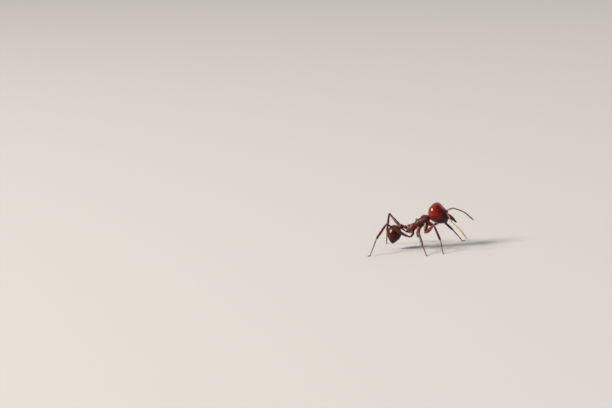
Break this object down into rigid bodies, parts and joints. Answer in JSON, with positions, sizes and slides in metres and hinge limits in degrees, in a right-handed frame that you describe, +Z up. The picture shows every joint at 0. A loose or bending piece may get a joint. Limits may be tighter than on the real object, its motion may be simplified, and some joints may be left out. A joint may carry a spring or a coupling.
{
  "type": "leafcutter ant soldier",
  "caption": "Leafcutter ant soldier, standing with its big glossy heart-shaped head raised, spiny back, small hanging gaster and long legs spread wide.",
  "frame": {"origin": "on the floor, under the middle of the box round the whole ant", "axes": "+X the way the ant faces, +Y its left, +Z up"},
  "size_m": [0.02, 0.0194, 0.0091],
  "materials": {
    "head": "gloss",
    "trunk": "satin",
    "gaster": "gloss",
    "leg": "satin",
    "antenna": "satin",
    "mandible": "gloss",
    "eye": "gloss"
  },
  "bodies": {
    "root": {"head": "head", "eye_left": "eye", "eye_right": "eye", "mandible_left": "mandible", "mandible_right": "mandible", "antenna_left_scape": "antenna", "antenna_left_funiculus": "antenna", "antenna_right_scape": "antenna", "antenna_right_funiculus": "antenna", "mesosoma": "trunk", "petiole": "trunk", "postpetiole": "trunk", "gaster_front": "gaster", "gaster_tip": "gaster", "leg_left_fore_coxa": "leg", "leg_left_fore_trochanter": "leg", "leg_left_fore_femur": "leg", "leg_left_fore_tibia": "leg", "leg_left_fore_tarsus": "leg", "leg_left_mid_coxa": "leg", "leg_left_mid_trochanter": "leg", "leg_left_mid_femur": "leg", "leg_left_mid_tibia": "leg", "leg_left_mid_tarsus": "leg", "leg_left_hind_coxa": "leg", "leg_left_hind_trochanter": "leg", "leg_left_hind_femur": "leg", "leg_left_hind_tibia": "leg", "leg_left_hind_tarsus": "leg", "leg_right_fore_coxa": "leg", "leg_right_fore_trochanter": "leg", "leg_right_fore_femur": "leg", "leg_right_fore_tibia": "leg", "leg_right_fore_tarsus": "leg", "leg_right_mid_coxa": "leg", "leg_right_mid_trochanter": "leg", "leg_right_mid_femur": "leg", "leg_right_mid_tibia": "leg", "leg_right_mid_tarsus": "leg", "leg_right_hind_coxa": "leg", "leg_right_hind_trochanter": "leg", "leg_right_hind_femur": "leg", "leg_right_hind_tibia": "leg", "leg_right_hind_tarsus": "leg"}
  },
  "joints": []
}
